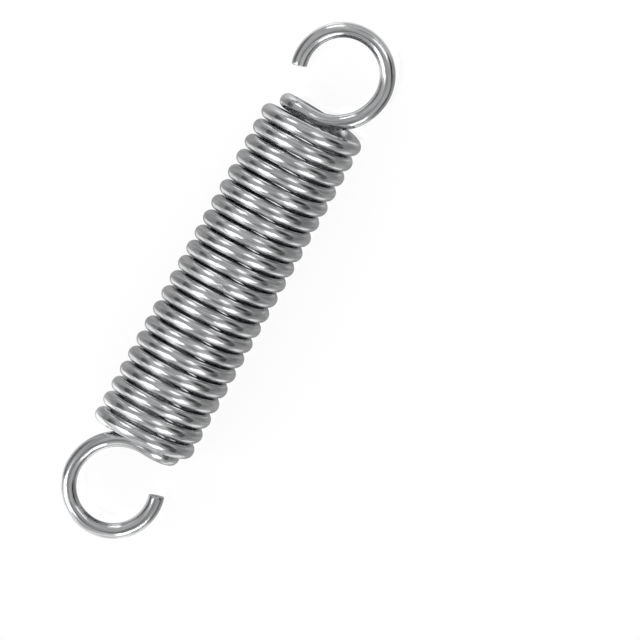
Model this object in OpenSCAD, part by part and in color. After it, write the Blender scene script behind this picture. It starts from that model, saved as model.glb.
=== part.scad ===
// Extension spring with a full loop hook at each end, bent from one length of round wire.
// It lies on its side. X runs along the spring, the loops lie flat, and the origin is the middle of the coil.

/* [Wire] */
// Diameter of the wire
wire_d = 1.8; // [1:0.1:2.2]
// Width of the edge break round each cut end
end_break = 0.15; // [0.05:0.05:0.4]

/* [Coil] */
// Outer diameter of the coil
coil_d = 12; // [10:0.5:18]
// Gap between neighbouring turns
turn_gap = 0.16; // [0.1:0.02:1]
// Number of turns, odd so that both hooks leave from the underside
turns = 21; // [5:2:33]

/* [Hooks] */
// Outer diameter of each loop
loop_d = 11.9; // [9:0.1:16]
// Angle that the loop turns through, from the leg that carries it to the cut end
loop_angle = 200; // [150:5:225]
// Radius of the leg that swings up from the coil into the loop, to the middle of the wire
leg_r = 5.85; // [5.2:0.05:8]
// Straight wire between the last turn and the bend that closes the coil
lead = 0.95; // [0.5:0.05:2]
// How far the wire climbs along the spring in that bend
bend_rise = 0.3; // [0.1:0.05:0.6]

/* [Hidden] */

wire_r = wire_d / 2;
coil_r = (coil_d - wire_d) / 2;
pitch = wire_d + turn_gap;

// The coil is a chain of flat quarter arcs. At each joint the wire is twisted about its own line,
// which tips the next arc and so carries the wire along the spring by a quarter of the pitch.
// The arcs' radius keeps their joints on the coil's own cylinder.
arcs_each_way = 2 * turns;
arc_rise = pitch / 4;
arc_r = to_micron(sqrt(pow(coil_r, 2) + 3 / 4 * pow(arc_rise, 2)));
climb = asin(arc_rise / (2 * arc_r));
joint_twist = 2 * asin(tan(climb));

// A tipped quarter arc turns slightly more than 90 degrees about the spring's own line.
// The sum of what is over is turned back between the leg and the loop, so that both loops are in line.
arc_turn = 2 * acos(cos(45) * cos(joint_twist / 2));
over_turn = arcs_each_way * (arc_turn - 90);

// The closing bend brings the wire from the coil back to the spring's own line.
bend_r = to_micron((coil_r + (leg_r - lead) * tan(over_turn)) / 2);
bend_tip = asin(bend_rise / (2 * bend_r));
loop_r = to_micron((loop_d - wire_d) / 2);

// How far the cutter of the edge break reaches clear of the wire
cutter_reach = wire_r / 4;

// A radius held to a thousandth, and a twist held to six decimals of its cosine.
// Both stay exact when they are written out, so every arc ends where the next one starts.
function to_micron(size) = round(size * 1000) / 1000;
function clean_turn(angle) = sign(angle) * acos(round(cos(angle) * 1000000) / 1000000);

// Every length of wire starts at the origin and heads along +Y, and every bend turns it towards -X.
module straight_wire(length) {
    rotate([-90, 0, 0])
        cylinder(h = length, r = wire_r, $fn = 48);
}

module bent_wire(radius, angle) {
    translate([-radius, 0, 0])
        rotate_extrude(angle = angle, $fn = 96)
            translate([radius, 0])
                circle(r = wire_r, $fn = 24);
}

// These place what follows at the far end of a length of wire.
module past_straight(length) {
    translate([0, length, 0])
        children();
}

module past_quarter(radius) {
    translate([-radius, radius, 0])
        rotate([0, 0, 90])
            children();
}

module past_half(radius) {
    translate([-2 * radius, 0, 0])
        rotate([0, 0, 180])
            children();
}

module past_bend(radius, angle) {
    translate([-radius, 0, 0])
        rotate([0, 0, angle])
            translate([radius, 0, 0])
                children();
}

// A twist about the wire's own line, which tips the plane of the next bend
module twisted(angle) {
    rotate([0, clean_turn(angle), 0])
        children();
}

// Past a number of the coil's arcs, with the twist that follows each of them
module past_arcs(count) {
    if (count > 0)
        past_quarter(arc_r)
            twisted(joint_twist)
                past_arcs(count - 1)
                    children();
    else
        children();
}

module half_coil() {
    for (arc = [0 : arcs_each_way - 1])
        past_arcs(arc)
            bent_wire(arc_r, 90);
}

// A ring of triangular section, which takes the sharp edge off a square-cut end
module edge_cutter() {
    rotate([-90, 0, 0])
        rotate_extrude($fn = 48)
            polygon([
                [wire_r - end_break - cutter_reach, cutter_reach],
                [wire_r + cutter_reach, cutter_reach],
                [wire_r + cutter_reach, -end_break - cutter_reach]
            ]);
}

module loop() {
    difference() {
        bent_wire(loop_r, loop_angle);
        past_bend(loop_r, loop_angle)
            edge_cutter();
    }
}

module leg_and_loop() {
    bent_wire(leg_r, 90);
    past_quarter(leg_r)
        twisted(-over_turn)
            loop();
}

module hook() {
    straight_wire(lead);
    past_straight(lead)
        twisted(bend_tip) {
            bent_wire(bend_r, 180);
            past_half(bend_r)
                twisted(90)
                    twisted(bend_tip)
                        leg_and_loop();
        }
}

// From the top of the middle turn to the cut end of one hook
module half_spring() {
    translate([0, 0, coil_r])
        rotate([180, -90, 0])
            rotate([climb, 0, 0])
                twisted(joint_twist / 2) {
                    half_coil();
                    past_arcs(arcs_each_way)
                        twisted(-joint_twist / 2)
                            hook();
                }
}

module spring() {
    color("silver") {
        half_spring();
        rotate([0, 0, 180])
            half_spring();
    }
}

spring();
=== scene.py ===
"""Extension spring: one bright length of drawn wire, with a close coil and a full loop hook at each end.

The spring is one piece of wire, swept here in the same chain of bends as the solid it stands for.
X runs along the spring, both loops lie flat, and the origin is the middle of the coil.
"""

import logging
import math
from dataclasses import dataclass, field
from enum import Enum

import bmesh
import bpy
from mathutils import Matrix, Vector

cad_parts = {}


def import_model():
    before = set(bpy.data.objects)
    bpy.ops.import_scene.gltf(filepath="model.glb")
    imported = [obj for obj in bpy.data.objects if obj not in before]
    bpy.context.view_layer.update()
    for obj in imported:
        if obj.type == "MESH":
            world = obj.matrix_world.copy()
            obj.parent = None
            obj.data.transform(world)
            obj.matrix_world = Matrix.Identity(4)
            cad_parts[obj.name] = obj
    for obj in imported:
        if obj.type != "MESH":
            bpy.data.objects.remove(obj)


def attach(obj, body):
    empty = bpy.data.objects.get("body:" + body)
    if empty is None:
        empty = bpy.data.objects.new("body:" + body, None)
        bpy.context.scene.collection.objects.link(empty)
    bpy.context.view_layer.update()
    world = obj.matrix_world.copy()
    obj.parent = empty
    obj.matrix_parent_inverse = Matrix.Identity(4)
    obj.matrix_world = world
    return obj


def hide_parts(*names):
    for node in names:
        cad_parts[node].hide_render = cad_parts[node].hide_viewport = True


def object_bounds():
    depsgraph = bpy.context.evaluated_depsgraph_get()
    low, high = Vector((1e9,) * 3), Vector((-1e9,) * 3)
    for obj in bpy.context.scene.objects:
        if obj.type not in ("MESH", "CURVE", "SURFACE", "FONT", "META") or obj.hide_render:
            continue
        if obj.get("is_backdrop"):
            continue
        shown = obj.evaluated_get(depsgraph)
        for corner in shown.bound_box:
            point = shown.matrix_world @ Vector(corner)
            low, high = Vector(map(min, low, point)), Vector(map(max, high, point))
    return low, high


LOG = logging.getLogger("extension_spring")
MM = 0.001

SPRING_NODE = "spring"
PLACE_LAYER = "wire_place"


class RayKind(Enum):
    """The kinds of ray that see the background, each with a share of white of its own."""

    CAMERA = "Is Camera Ray"
    GLOSSY = "Is Glossy Ray"
    TRANSMISSION = "Is Transmission Ray"


class Face(Enum):
    """The material slots of the wire, in their order on the mesh."""

    DRAWN = 0
    CUT = 1


def to_micron(length: float) -> float:
    """Return a length in metres, held to a thousandth of a millimetre as on the solid."""
    return round(length / MM, 3) * MM


def turned(angle: float, axis: str) -> Matrix:
    """Return a turn by an angle in degrees about one of the axes."""
    return Matrix.Rotation(math.radians(angle), 4, axis)


def outward(bearing: float, height: float) -> Vector:
    """Give a direction out from the spring.

    Args:
        bearing: Angle from +X towards +Y, in degrees.
        height: Angle above the floor, in degrees.

    Returns:
        The direction, one unit long.
    """
    along, above = math.radians(bearing), math.radians(height)
    flat = math.cos(above)
    return Vector((flat * math.cos(along), flat * math.sin(along), math.sin(above)))


def grey(tone: float) -> tuple[float, float, float, float]:
    """Return an opaque grey of a tone from 0, black, to 1, white."""
    return (tone, tone, tone, 1.0)


def add_object(name: str, data: bpy.types.ID) -> bpy.types.Object:
    """Put a mesh, a lamp or a camera in the scene.

    Args:
        name: The new object's name.
        data: The mesh, lamp or camera that it shows.

    Returns:
        The new object, at the origin.
    """
    thing = bpy.data.objects.new(name, data)
    bpy.context.scene.collection.objects.link(thing)
    return thing


def add_mesh(name: str, mesh: bmesh.types.BMesh) -> bpy.types.Object:
    """Put a finished bmesh in the scene, and free it.

    Args:
        name: The name of the new object and of its mesh.
        mesh: The finished bmesh.

    Returns:
        The new object, at the origin.
    """
    data = bpy.data.meshes.new(name)
    mesh.to_mesh(data)
    mesh.free()
    return add_object(name, data)


@dataclass
class NodeTree:
    """A small helper that adds and links shader nodes in one tree."""

    tree: bpy.types.NodeTree

    def add(self, kind: str, **settings: object) -> bpy.types.Node:
        """Add a node.

        Args:
            kind: Blender's name for the node's type.
            settings: Properties to set on the node, by name.

        Returns:
            The new node.
        """
        node = self.tree.nodes.new(kind)
        for name, value in settings.items():
            setattr(node, name, value)
        return node

    def feed(self, target: bpy.types.NodeSocket, value: object) -> None:
        """Give an input socket what it reads.

        Args:
            target: The input socket.
            value: A number, a vector or a colour, or the output socket that gives it.
        """
        if isinstance(value, bpy.types.NodeSocket):
            self.tree.links.new(value, target)
        else:
            target.default_value = value

    def maths(
        self, operation: str, *values: object, kind: str = "ShaderNodeMath"
    ) -> bpy.types.NodeSocket:
        """Add a Math node, or a node that is set up like one.

        Args:
            operation: The node's operation.
            values: Its inputs in order, each a value or an output socket.
            kind: Blender's name for the node's type.

        Returns:
            The output socket that the operation uses.
        """
        node = self.add(kind, operation=operation)
        for target, value in zip(node.inputs, values):
            self.feed(target, value)
        return next(socket for socket in node.outputs if socket.enabled)

    def vector_maths(self, operation: str, *values: object) -> bpy.types.NodeSocket:
        """Add a Vector Math node in the same way, and return the output socket that it uses."""
        return self.maths(operation, *values, kind="ShaderNodeVectorMath")

    def mix(
        self, share: bpy.types.NodeSocket, first: object, second: object, kind: str = "FLOAT"
    ) -> bpy.types.NodeSocket:
        """Mix two numbers or two colours.

        Args:
            share: The output socket that gives how much of the second is taken, from 0 to 1.
            first: A value or an output socket.
            second: A value or an output socket.
            kind: FLOAT for numbers, RGBA for colours.

        Returns:
            The output socket of the mixed value.
        """
        node = self.add("ShaderNodeMix", data_type=kind)
        for name, value in (("Factor", share), ("A", first), ("B", second)):
            self.feed(node.inputs[name], value)
        return node.outputs["Result"]

    def spread(
        self,
        value: bpy.types.NodeSocket,
        low: float,
        high: float,
        low_in: float = 0.0,
        high_in: float = 1.0,
        smooth: bool = False,
    ) -> bpy.types.NodeSocket:
        """Map one range of a value onto another, and hold what lies outside to its ends.

        Args:
            value: The output socket that gives the value.
            low: What low_in becomes.
            high: What high_in becomes.
            low_in: Lower end of the range that is mapped.
            high_in: Upper end of the range that is mapped.
            smooth: Whether the value eases in and out at the ends of the range.

        Returns:
            The output socket of the mapped value.
        """
        kind = "SMOOTHSTEP" if smooth else "LINEAR"
        node = self.add("ShaderNodeMapRange", clamp=True, interpolation_type=kind)
        self.feed(node.inputs["Value"], value)
        self.feed(node.inputs["From Min"], low_in)
        self.feed(node.inputs["From Max"], high_in)
        self.feed(node.inputs["To Min"], low)
        self.feed(node.inputs["To Max"], high)
        return node.outputs["Result"]


@dataclass(frozen=True)
class DieLines:
    """The fine lines that a die leaves along drawn wire, as a node group that any finish can use."""

    name: str = "die_lines"
    line_detail: float = 3.0
    line_roughness: float = 0.6
    faintest: float = 0.3
    strongest: float = 0.7
    mottle_detail: float = 2.0

    def group(self) -> bpy.types.NodeTree:
        """Build the group once.

        Returns:
            The node group, which puts out a line mask and a slow mottle, each from 0 to 1.
        """
        found = bpy.data.node_groups.get(self.name)
        if found:
            return found
        group = bpy.data.node_groups.new(self.name, "ShaderNodeTree")
        sockets = group.interface
        sockets.new_socket("Place", in_out="INPUT", socket_type="NodeSocketVector")
        for name in ("Lines per mm", "Stretch", "Mottle per mm"):
            sockets.new_socket(name, in_out="INPUT", socket_type="NodeSocketFloat")
        for name in ("Lines", "Mottle"):
            sockets.new_socket(name, in_out="OUTPUT", socket_type="NodeSocketFloat")
        nodes = NodeTree(group)
        given = nodes.add("NodeGroupInput")
        result = nodes.add("NodeGroupOutput")
        nodes.feed(result.inputs["Lines"], self.drawn_lines(nodes, given))
        nodes.feed(result.inputs["Mottle"], self.slow_mottle(nodes, given))
        return group

    def drawn_lines(self, nodes: NodeTree, given: bpy.types.Node) -> bpy.types.NodeSocket:
        """Draw the lines, as fine noise that is stretched along the wire.

        Args:
            nodes: The group's node tree.
            given: The node that holds the group's inputs.

        Returns:
            The output socket of the line mask.
        """
        per_metre = nodes.maths("DIVIDE", given.outputs["Lines per mm"], MM)
        along = nodes.maths("MULTIPLY", per_metre, given.outputs["Stretch"])
        scale = nodes.add("ShaderNodeCombineXYZ")
        for axis, rate in (("X", per_metre), ("Y", per_metre), ("Z", along)):
            nodes.feed(scale.inputs[axis], rate)
        stretched = nodes.vector_maths("MULTIPLY", given.outputs["Place"], scale.outputs["Vector"])
        noise = nodes.add("ShaderNodeTexNoise")
        nodes.feed(noise.inputs["Vector"], stretched)
        nodes.feed(noise.inputs["Scale"], 1.0)
        nodes.feed(noise.inputs["Detail"], self.line_detail)
        nodes.feed(noise.inputs["Roughness"], self.line_roughness)
        return nodes.spread(
            noise.outputs["Fac"], 0.0, 1.0, low_in=self.faintest, high_in=self.strongest
        )

    def slow_mottle(self, nodes: NodeTree, given: bpy.types.Node) -> bpy.types.NodeSocket:
        """Lay a slow even mottle over the wire.

        Args:
            nodes: The group's node tree.
            given: The node that holds the group's inputs.

        Returns:
            The output socket of the mottle.
        """
        noise = nodes.add("ShaderNodeTexNoise")
        nodes.feed(noise.inputs["Vector"], given.outputs["Place"])
        nodes.feed(
            noise.inputs["Scale"], nodes.maths("DIVIDE", given.outputs["Mottle per mm"], MM)
        )
        nodes.feed(noise.inputs["Detail"], self.mottle_detail)
        return noise.outputs["Fac"]


@dataclass(frozen=True)
class SteelFinish:
    """A bare steel surface, with lines and mottle that run with the wire.

    The tones are the colours of its darkest and lightest lines. Its roughness runs from the
    smoothest to the roughest value, and line_share says how much of that the lines bring. The
    mottle brings the rest. A small stretch gives long lines, and 1 gives grain with no direction.
    """

    name: str
    dark: tuple[float, float, float]
    light: tuple[float, float, float]
    smoothest: float
    roughest: float
    lines_per_mm: float
    stretch: float
    line_depth: float
    mottle_per_mm: float = 0.5
    line_share: float = 0.6
    lines: DieLines = DieLines()

    def material(self) -> bpy.types.Material:
        """Build the material.

        Returns:
            A metallic material whose pattern reads the place along the straightened wire.
        """
        material = bpy.data.materials.new(self.name)
        material.use_nodes = True
        nodes = NodeTree(material.node_tree)
        shader = material.node_tree.nodes["Principled BSDF"]
        place = nodes.add("ShaderNodeAttribute", attribute_name=PLACE_LAYER)
        pattern = nodes.add("ShaderNodeGroup", node_tree=self.lines.group())
        nodes.feed(pattern.inputs["Place"], place.outputs["Vector"])
        nodes.feed(pattern.inputs["Lines per mm"], self.lines_per_mm)
        nodes.feed(pattern.inputs["Stretch"], self.stretch)
        nodes.feed(pattern.inputs["Mottle per mm"], self.mottle_per_mm)
        lines = pattern.outputs["Lines"]

        colour = nodes.mix(lines, (*self.dark, 1.0), (*self.light, 1.0), kind="RGBA")
        mottle = nodes.maths("MULTIPLY", pattern.outputs["Mottle"], 1.0 - self.line_share)
        wear = nodes.maths("MULTIPLY_ADD", lines, self.line_share, mottle)
        bump = nodes.add("ShaderNodeBump")
        nodes.feed(bump.inputs["Strength"], 1.0)
        nodes.feed(bump.inputs["Distance"], self.line_depth)
        nodes.feed(bump.inputs["Height"], lines)

        nodes.feed(shader.inputs["Metallic"], 1.0)
        nodes.feed(shader.inputs["Base Color"], colour)
        nodes.feed(shader.inputs["Roughness"], nodes.spread(wear, self.smoothest, self.roughest))
        nodes.feed(shader.inputs["Normal"], bump.outputs["Normal"])
        return material


DRAWN_WIRE = SteelFinish(
    name="drawn_spring_wire",
    dark=(0.42, 0.43, 0.44),
    light=(0.82, 0.82, 0.83),
    smoothest=0.06,
    roughest=0.17,
    lines_per_mm=4.0,
    stretch=0.07,
    line_depth=0.012 * MM,
)

CUT_END = SteelFinish(
    name="sheared_wire_end",
    dark=(0.42, 0.42, 0.43),
    light=(0.70, 0.70, 0.71),
    smoothest=0.22,
    roughest=0.42,
    lines_per_mm=6.0,
    stretch=1.0,
    line_depth=0.004 * MM,
)


@dataclass
class WireBender:
    """Bends one length of round wire in a bmesh, from a ring of points at its start.

    The wire heads along the local +Y, and a bend turns it towards the local -X, about the local Z.
    """

    wire_r: float
    sides: int
    mesh: bmesh.types.BMesh
    start: Matrix
    steps_per_turn: int
    edge_steps: int = 3
    place: Matrix = field(init=False)
    run: float = field(default=0.0, init=False)
    ring: list[bmesh.types.BMEdge] = field(init=False)
    layer: bmesh.types.BMLayerItem = field(init=False)

    def __post_init__(self) -> None:
        """Lay down the first ring and note each point's place on the straight wire."""
        self.place = self.start.copy()
        self.layer = self.mesh.verts.layers.float_vector.new(PLACE_LAYER)
        circle = bmesh.ops.create_circle(
            self.mesh, segments=self.sides, radius=self.wire_r,
            matrix=self.place @ turned(90, "X"),
        )
        back = self.place.inverted()
        for vert in circle["verts"]:
            local = back @ vert.co
            vert[self.layer] = Vector((local.x, local.z, 0.0))
        self.ring = list(self.mesh.edges)

    def twist(self, angle: float) -> None:
        """Turn the wire about its own line by an angle in degrees, which tips the next bend."""
        self.place = self.place @ turned(angle, "Y")

    def straight(self, length: float) -> None:
        """Add a straight length of wire.

        Args:
            length: How far the wire runs on, in metres.
        """
        made = bmesh.ops.extrude_edge_only(self.mesh, edges=self.ring)["geom"]
        verts = [item for item in made if isinstance(item, bmesh.types.BMVert)]
        ahead = self.place.to_3x3() @ Vector((0.0, length, 0.0))
        bmesh.ops.translate(self.mesh, verts=verts, vec=ahead)
        self.run += length
        for vert in verts:
            vert[self.layer].z = self.run
        rim = set(verts)
        self.ring = [
            item for item in made
            if isinstance(item, bmesh.types.BMEdge) and rim.issuperset(item.verts)
        ]
        self.place = Matrix.Translation(ahead) @ self.place

    def bend(self, radius: float, angle: float) -> None:
        """Add a bend.

        Args:
            radius: Radius to the middle of the wire, in metres.
            angle: Angle of the bend, in degrees.
        """
        steps = max(1, round(self.steps_per_turn * angle / 360))
        centre = self.place @ Vector((-radius, 0.0, 0.0))
        axis = (self.place.to_3x3() @ Vector((0.0, 0.0, 1.0))).normalized()
        before = len(self.mesh.verts)
        made = bmesh.ops.spin(
            self.mesh, geom=self.ring, cent=centre, axis=axis,
            angle=math.radians(angle), steps=steps,
        )["geom_last"]
        self.ring = [item for item in made if isinstance(item, bmesh.types.BMEdge)]

        hub = self.place @ Matrix.Translation((-radius, 0.0, 0.0))
        back = hub.inverted()
        self.mesh.verts.ensure_lookup_table()
        for vert in self.mesh.verts[before:]:
            local = back @ vert.co
            around = math.atan2(local.y, local.x) % (2 * math.pi)
            vert[self.layer].z = self.run + radius * around
        self.run += radius * math.radians(angle)
        self.place = hub @ turned(angle, "Z") @ Matrix.Translation((radius, 0.0, 0.0))

    def close_end(self, edge_break: float) -> None:
        """Close the wire with a flat cut face, and break its sharp edge.

        Args:
            edge_break: Width of the broken edge, in metres.
        """
        made = bmesh.ops.contextual_create(self.mesh, geom=self.ring)["faces"]
        cut_face = made[0]
        cut_face.material_index = Face.CUT.value
        worked = bmesh.ops.bevel(
            self.mesh, geom=list(cut_face.edges), offset=edge_break, offset_type="OFFSET",
            affect="EDGES", segments=self.edge_steps, profile=0.5, material=-1,
        )
        for vert in worked["verts"]:
            vert[self.layer].z = self.run


@dataclass
class ExtensionSpring:
    """The whole spring, as one length of wire from cut end to cut end.

    Its sizes are the solid's own, in metres, with angles in degrees. The wire's section has that
    number of sides, and a full turn is swept in that number of steps. Where the two halves meet,
    points closer than the weld become one.
    """

    wire_d: float = 1.8 * MM
    end_break: float = 0.15 * MM
    coil_d: float = 12.0 * MM
    turn_gap: float = 0.16 * MM
    turns: int = 21
    loop_d: float = 11.9 * MM
    loop_angle: float = 200.0
    leg_r: float = 5.85 * MM
    lead: float = 0.95 * MM
    bend_rise: float = 0.3 * MM
    sides: int = 36
    steps_per_turn: int = 72
    weld: float = 0.001 * MM

    @property
    def wire_r(self) -> float:
        """Radius of the wire."""
        return self.wire_d / 2

    @property
    def coil_r(self) -> float:
        """Radius of the coil, to the middle of the wire."""
        return (self.coil_d - self.wire_d) / 2

    @property
    def arcs_each_way(self) -> int:
        """Number of flat quarter arcs from the middle of the coil to either end."""
        return 2 * self.turns

    @property
    def arc_rise(self) -> float:
        """How far each arc carries the wire along the spring."""
        return (self.wire_d + self.turn_gap) / 4

    @property
    def arc_r(self) -> float:
        """Radius of each arc, which keeps the arcs' joints on the coil's own cylinder."""
        return to_micron(math.sqrt(self.coil_r**2 + 3 / 4 * self.arc_rise**2))

    @property
    def climb(self) -> float:
        """Angle between the wire and the coil's own circle, in degrees."""
        return math.degrees(math.asin(self.arc_rise / (2 * self.arc_r)))

    @property
    def joint_twist(self) -> float:
        """Twist of the wire between one arc and the next, in degrees."""
        return 2 * math.degrees(math.asin(math.tan(math.radians(self.climb))))

    @property
    def over_turn(self) -> float:
        """How much further than its quarter turns the coil has come round, in degrees."""
        half = math.cos(math.radians(45)) * math.cos(math.radians(self.joint_twist / 2))
        return self.arcs_each_way * (2 * math.degrees(math.acos(half)) - 90)

    @property
    def bend_r(self) -> float:
        """Radius of the bend that brings the wire from the coil back to the spring's own line."""
        reach = (self.leg_r - self.lead) * math.tan(math.radians(self.over_turn))
        return to_micron((self.coil_r + reach) / 2)

    @property
    def bend_tip(self) -> float:
        """Tip of that bend, in degrees, which lets the wire climb along the spring."""
        return math.degrees(math.asin(self.bend_rise / (2 * self.bend_r)))

    @property
    def loop_r(self) -> float:
        """Radius of each loop, to the middle of the wire."""
        return to_micron((self.loop_d - self.wire_d) / 2)

    def middle(self) -> Matrix:
        """Return the wire's place at the top of the middle turn."""
        return (
            Matrix.Translation((0.0, 0.0, self.coil_r))
            @ turned(-90, "Y")
            @ turned(180, "X")
            @ turned(self.climb, "X")
        )

    def bend_half(self, mesh: bmesh.types.BMesh) -> None:
        """Bend the half that runs from the middle turn to the loop at +X.

        Args:
            mesh: The empty bmesh that takes the wire.
        """
        wire = WireBender(self.wire_r, self.sides, mesh, self.middle(), self.steps_per_turn)
        wire.twist(self.joint_twist / 2)
        for _ in range(self.arcs_each_way):
            wire.bend(self.arc_r, 90)
            wire.twist(self.joint_twist)
        wire.twist(-self.joint_twist / 2)
        wire.straight(self.lead)
        wire.twist(self.bend_tip)
        wire.bend(self.bend_r, 180)
        wire.twist(90 + self.bend_tip)
        wire.bend(self.leg_r, 90)
        wire.twist(-self.over_turn)
        wire.bend(self.loop_r, self.loop_angle)
        wire.close_end(self.end_break)

    def add_other_half(self, mesh: bmesh.types.BMesh) -> None:
        """Add the same half again, half a turn round, and weld the two at the middle turn.

        Args:
            mesh: The bmesh that holds the first half.
        """
        layer = mesh.verts.layers.float_vector[PLACE_LAYER]
        whole = list(mesh.verts) + list(mesh.edges) + list(mesh.faces)
        made = bmesh.ops.duplicate(mesh, geom=whole)["geom"]
        verts = [item for item in made if isinstance(item, bmesh.types.BMVert)]
        bmesh.ops.rotate(
            mesh, verts=verts, cent=(0.0, 0.0, 0.0), matrix=turned(180, "Z").to_3x3()
        )
        for vert in verts:
            across, up, along = vert[layer]
            vert[layer] = Vector((-across, up, -along))
        bmesh.ops.remove_doubles(mesh, verts=list(mesh.verts), dist=self.weld)

    def build(self) -> bpy.types.Object:
        """Bend the wire and dress it.

        Returns:
            The spring's object, at the origin.
        """
        mesh = bmesh.new()
        self.bend_half(mesh)
        self.add_other_half(mesh)
        bmesh.ops.recalc_face_normals(mesh, faces=list(mesh.faces))
        for face in mesh.faces:
            face.smooth = face.material_index == Face.DRAWN.value
        piece = add_mesh("bent_wire", mesh)
        for finish in (DRAWN_WIRE, CUT_END):
            piece.data.materials.append(finish.material())
        return piece

    def fit(self) -> bpy.types.Object:
        """Build the spring and put it in place of the solid.

        Returns:
            The spring's object.
        """
        piece = self.build()
        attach(piece, "root")
        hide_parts(SPRING_NODE)
        LOG.info("%s: %d faces", piece.name, len(piece.data.polygons))
        return piece


@dataclass(frozen=True)
class RoomTone:
    """A broad soft patch of the room round the spring, lighter or darker than the rest.

    Its middle lies at a bearing and a height. Its tone is even out to the spread, and fades over
    the edge, both of them angles from that middle.
    """

    bearing: float
    height: float
    spread: float
    edge: float
    tone: float

    def paint(
        self, nodes: NodeTree, ray: bpy.types.NodeSocket, under: bpy.types.NodeSocket | float
    ) -> bpy.types.NodeSocket:
        """Paint the patch over what the room holds so far.

        Args:
            nodes: The world's node tree.
            ray: The socket that gives the direction looked in.
            under: The room's tone so far, a number or an output socket.

        Returns:
            The output socket of the room's tone with this patch in it.
        """
        facing = nodes.vector_maths("DOT_PRODUCT", ray, outward(self.bearing, self.height))
        cover = nodes.spread(
            facing, 0.0, 1.0,
            low_in=math.cos(math.radians(self.spread + self.edge)),
            high_in=math.cos(math.radians(self.spread)),
            smooth=True,
        )
        return nodes.mix(cover, under, self.tone)


@dataclass(frozen=True)
class FloorOval:
    """An oval of floor, lined up with the spring. Its soft edge is a share of its half size."""

    middle: tuple[float, float]
    half_size: tuple[float, float]
    edge: float

    def mask(self, nodes: NodeTree) -> bpy.types.NodeSocket:
        """Work out how far a point of the floor lies in the oval.

        Args:
            nodes: The floor's node tree.

        Returns:
            An output socket that gives 1 in the oval, and 0 past its soft edge.
        """
        place = nodes.add("ShaderNodeTexCoord").outputs["Object"]
        away = nodes.vector_maths("SUBTRACT", place, (*self.middle, 0.0))
        share = nodes.vector_maths("DIVIDE", away, (*self.half_size, 1.0))
        out = nodes.vector_maths("LENGTH", share)
        return nodes.spread(out, 1.0, 0.0, low_in=1.0, high_in=1.0 + self.edge, smooth=True)


@dataclass(frozen=True)
class Softbox:
    """A square or oblong lamp with a soft even face, aimed at the spring.

    Its bearing is counted from +X towards +Y, and its height is the angle above the floor. At a
    brightness of 1 its face is as bright as white.
    """

    name: str
    bearing: float
    height: float
    wide: float
    tall: float
    brightness: float
    distance: float = 0.5

    def light(self) -> bpy.types.Object:
        """Build the lamp.

        Returns:
            The lamp's object.
        """
        data = bpy.data.lights.new(self.name, "AREA")
        data.shape = "RECTANGLE"
        data.size = self.wide
        data.size_y = self.tall
        data.energy = self.brightness * math.pi * self.wide * self.tall
        out = outward(self.bearing, self.height)
        aim = out.to_track_quat("Z", "Y").to_matrix().to_4x4()
        lamp = add_object(self.name, data)
        lamp.matrix_world = Matrix.Translation(out * self.distance) @ aim
        lamp.visible_camera = False
        return lamp


@dataclass(frozen=True)
class Camera:
    """A long lens that looks down on the spring, as the photograph does.

    The camera starts straight above with the spring upright in the picture. It then rolls about the
    spring, leans towards one loop, and turns the picture. It sees from clip_reach times nearer
    than the spring to clip_reach times farther.
    """

    roll: float = 2.0
    lean: float = 6.3
    picture_turn: float = 28.88
    distance: float = 1.2
    sensor: float = 36.0
    picture_px: int = 640
    px_per_mm: float = 8.878
    middle_px: tuple[float, float] = (227.7, 281.0)
    clip_reach: float = 10.0

    def build(self) -> bpy.types.Object:
        """Build the camera and make it the scene's own.

        Returns:
            The camera's object.
        """
        data = bpy.data.cameras.new("camera")
        data.sensor_width = self.sensor
        data.lens = self.sensor * self.px_per_mm / self.picture_px * self.distance / MM
        data.clip_start = self.distance / self.clip_reach
        data.clip_end = self.distance * self.clip_reach
        upright = turned(-90, "Z")
        aim = (
            turned(self.roll, "X")
            @ upright
            @ turned(-self.lean, "X")
            @ turned(self.picture_turn, "Z")
        )
        half = self.picture_px / 2
        px = MM / self.px_per_mm
        aside = (half - self.middle_px[0]) * px
        down = (half - self.middle_px[1]) * px
        camera = add_object("camera", data)
        camera.matrix_world = aim @ Matrix.Translation((aside, -down, self.distance))
        bpy.context.scene.camera = camera
        return camera


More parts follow.
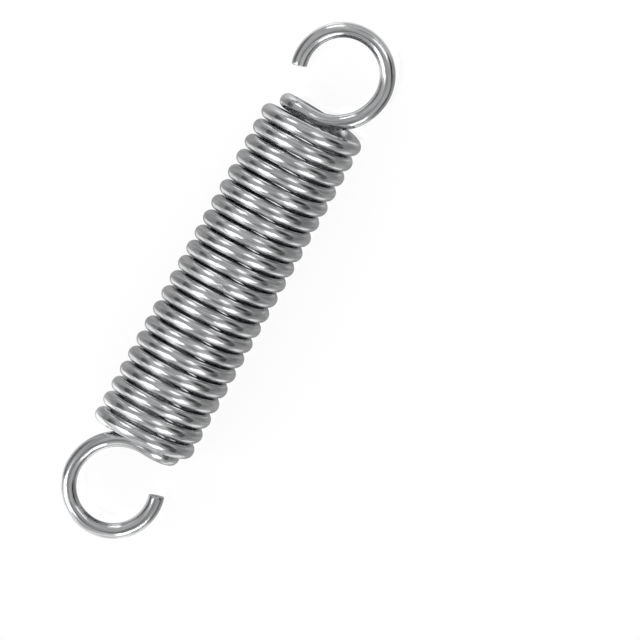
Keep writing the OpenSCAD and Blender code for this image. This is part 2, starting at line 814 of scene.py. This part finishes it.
@dataclass
class Studio:
    """The plain pale floor, the soft light and the camera.

    The floor is lifted towards white for the rays that see it. Glossy rays get a smaller share,
    because bright wire shows the ground in mid-grey. In them the floor has a painted pool of light
    beside each loop, and painted shade under the coil.
    """

    floor_z: float
    floor_r: float = 3.0
    floor_sides: int = 64
    floor_tone: float = 0.2
    lift: dict[RayKind, float] = field(
        default_factory=lambda: {
            RayKind.CAMERA: 0.80,
            RayKind.GLOSSY: 0.17,
            RayKind.TRANSMISSION: 0.84,
        }
    )
    floor_roughness: float = 0.14
    floor_ior: float = 3.6
    # Painted light for glossy rays: pool_lift and pools paint a pool of light beside each loop, and
    # shade paints shade in an oval under the coil.
    pool_lift: float = 0.55
    pools: tuple[FloorOval, ...] = (
        FloorOval(middle=(37.0 * MM, 8.0 * MM), half_size=(7.0 * MM, 8.0 * MM), edge=1.8),
        FloorOval(middle=(-40.0 * MM, 8.0 * MM), half_size=(9.0 * MM, 9.0 * MM), edge=1.9),
    )
    shade: FloorOval = FloorOval(middle=(0.0, 0.0), half_size=(21.5 * MM, 5.0 * MM), edge=0.5)
    room_grey: float = 0.53
    room_tones: tuple[RoomTone, ...] = (
        RoomTone(bearing=-165.0, height=72.0, spread=8.0, edge=13.0, tone=0.26),
        RoomTone(bearing=-58.0, height=23.0, spread=9.0, edge=17.0, tone=0.05),
        RoomTone(bearing=-91.0, height=-4.0, spread=17.0, edge=18.0, tone=0.12),
        RoomTone(bearing=95.0, height=-2.0, spread=15.0, edge=22.0, tone=0.13),
        RoomTone(bearing=-160.0, height=4.0, spread=18.0, edge=12.0, tone=0.95),
        RoomTone(bearing=140.0, height=8.0, spread=16.0, edge=14.0, tone=1.15),
    )
    camera: Camera = Camera()
    lamps: tuple[Softbox, ...] = (
        Softbox("far_softbox", bearing=40.5, height=21.0, wide=0.17, tall=0.20, brightness=1.6),
        Softbox("left_softbox", bearing=136.0, height=41.0, wide=0.28, tall=0.33, brightness=1.95),
        Softbox("right_softbox", bearing=-24.0, height=50.5, wide=0.18, tall=0.21, brightness=1.05),
        Softbox("near_softbox", bearing=-136.5, height=32.0, wide=0.29, tall=0.24, brightness=1.95),
    )

    def floor(self) -> bpy.types.Object:
        """Lay a round pale floor that keeps the shadow and is white where no shadow falls.

        Returns:
            The floor's object.
        """
        mesh = bmesh.new()
        bmesh.ops.create_circle(
            mesh, cap_ends=True, segments=self.floor_sides, radius=self.floor_r,
            matrix=Matrix.Translation((0.0, 0.0, self.floor_z)),
        )
        floor = add_mesh("floor", mesh)
        floor.data.materials.append(self.pale_floor())
        floor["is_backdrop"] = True
        return floor

    def pale_floor(self) -> bpy.types.Material:
        """Build the floor's material.

        Returns:
            A plain material with a slight gloss, lifted towards white by the kind of ray.
        """
        material = bpy.data.materials.new("pale_floor")
        material.use_nodes = True
        nodes = NodeTree(material.node_tree)
        shader = material.node_tree.nodes["Principled BSDF"]
        nodes.feed(shader.inputs["Base Color"], grey(self.floor_tone))
        nodes.feed(shader.inputs["Roughness"], self.floor_roughness)
        nodes.feed(shader.inputs["IOR"], self.floor_ior)
        nodes.feed(shader.inputs["Emission Color"], grey(1.0))
        nodes.feed(shader.inputs["Emission Strength"], self.lifted(nodes))
        return material

    def lifted(self, nodes: NodeTree) -> bpy.types.NodeSocket:
        """Work out how far the floor is lifted towards white for each kind of ray.

        Args:
            nodes: The floor's node tree.

        Returns:
            An output socket that gives the lift, which is 0 for rays that only spread light.
        """
        path = nodes.add("ShaderNodeLightPath")
        total: bpy.types.NodeSocket | float = 0.0
        for kind, lift in self.lift.items():
            share: bpy.types.NodeSocket | float = lift
            if kind is RayKind.GLOSSY:
                # Paint a pool of light beside each loop and shade under the coil, for glossy rays only.
                for pool in self.pools:
                    share = nodes.maths("MULTIPLY_ADD", pool.mask(nodes), self.pool_lift, share)
                clear = nodes.maths("SUBTRACT", 1.0, self.shade.mask(nodes))
                share = nodes.maths("MULTIPLY", share, clear)
            total = nodes.maths("MULTIPLY_ADD", path.outputs[kind.value], share, total)
        return total

    def room(self) -> None:
        """Make the grey room round the floor, which the camera sees as white."""
        world = bpy.data.worlds.new("studio")
        bpy.context.scene.world = world
        world.use_nodes = True
        nodes = NodeTree(world.node_tree)
        ray = nodes.add("ShaderNodeTexCoord").outputs["Generated"]
        tone: bpy.types.NodeSocket | float = self.room_grey
        for patch in self.room_tones:
            tone = patch.paint(nodes, ray, tone)
        path = nodes.add("ShaderNodeLightPath")
        seen = nodes.mix(path.outputs[RayKind.CAMERA.value], tone, 1.0)
        background = world.node_tree.nodes["Background"]
        nodes.feed(background.inputs["Color"], seen)

    def build(self) -> None:
        """Set up the whole studio."""
        self.floor()
        self.room()
        for lamp in self.lamps:
            lamp.light()
        self.camera.build()
        bpy.context.scene.view_settings.view_transform = "Standard"
        LOG.info("studio: %d lamps", len(self.lamps))


def main() -> None:
    """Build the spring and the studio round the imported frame."""
    logging.basicConfig(level=logging.INFO, format="%(name)s: %(message)s")
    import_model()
    cad_box = [list(corner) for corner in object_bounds()]
    ExtensionSpring().fit()
    Studio(floor_z=cad_box[0][2]).build()


if __name__ == "__main__":
    main()
